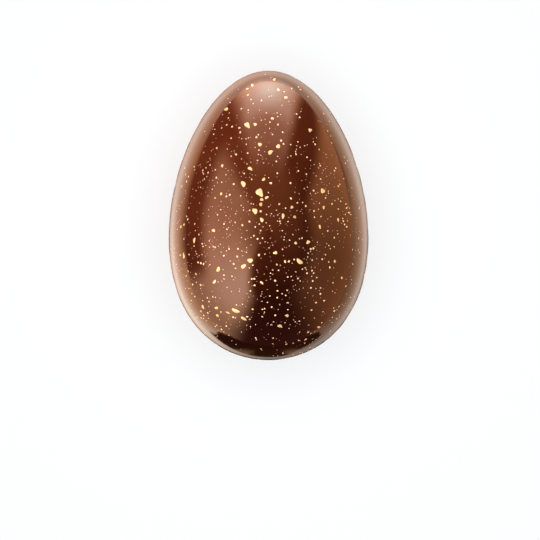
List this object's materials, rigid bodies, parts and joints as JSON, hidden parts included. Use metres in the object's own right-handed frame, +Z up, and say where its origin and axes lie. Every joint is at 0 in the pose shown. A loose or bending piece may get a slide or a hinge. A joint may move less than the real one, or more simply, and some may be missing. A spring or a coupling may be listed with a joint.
{
  "type": "chocolate egg",
  "caption": "Glossy moulded chocolate egg, broad at one end and narrower at the other, with a thin seam round its long outline and small drops of gold colour all over; lies on a small flat.",
  "frame": {"origin": "under the middle of the egg's length, on the surface that it lies on", "axes": "+Y along the egg to its narrow end, +Z up to the side that faces the buyer, +X across it to the right"},
  "size_m": [0.104, 0.1506, 0.1024],
  "materials": {
    "chocolate": "glossy",
    "gold_drops": "satin"
  },
  "bodies": {
    "root": {"chocolate_egg": "chocolate"}
  },
  "joints": []
}
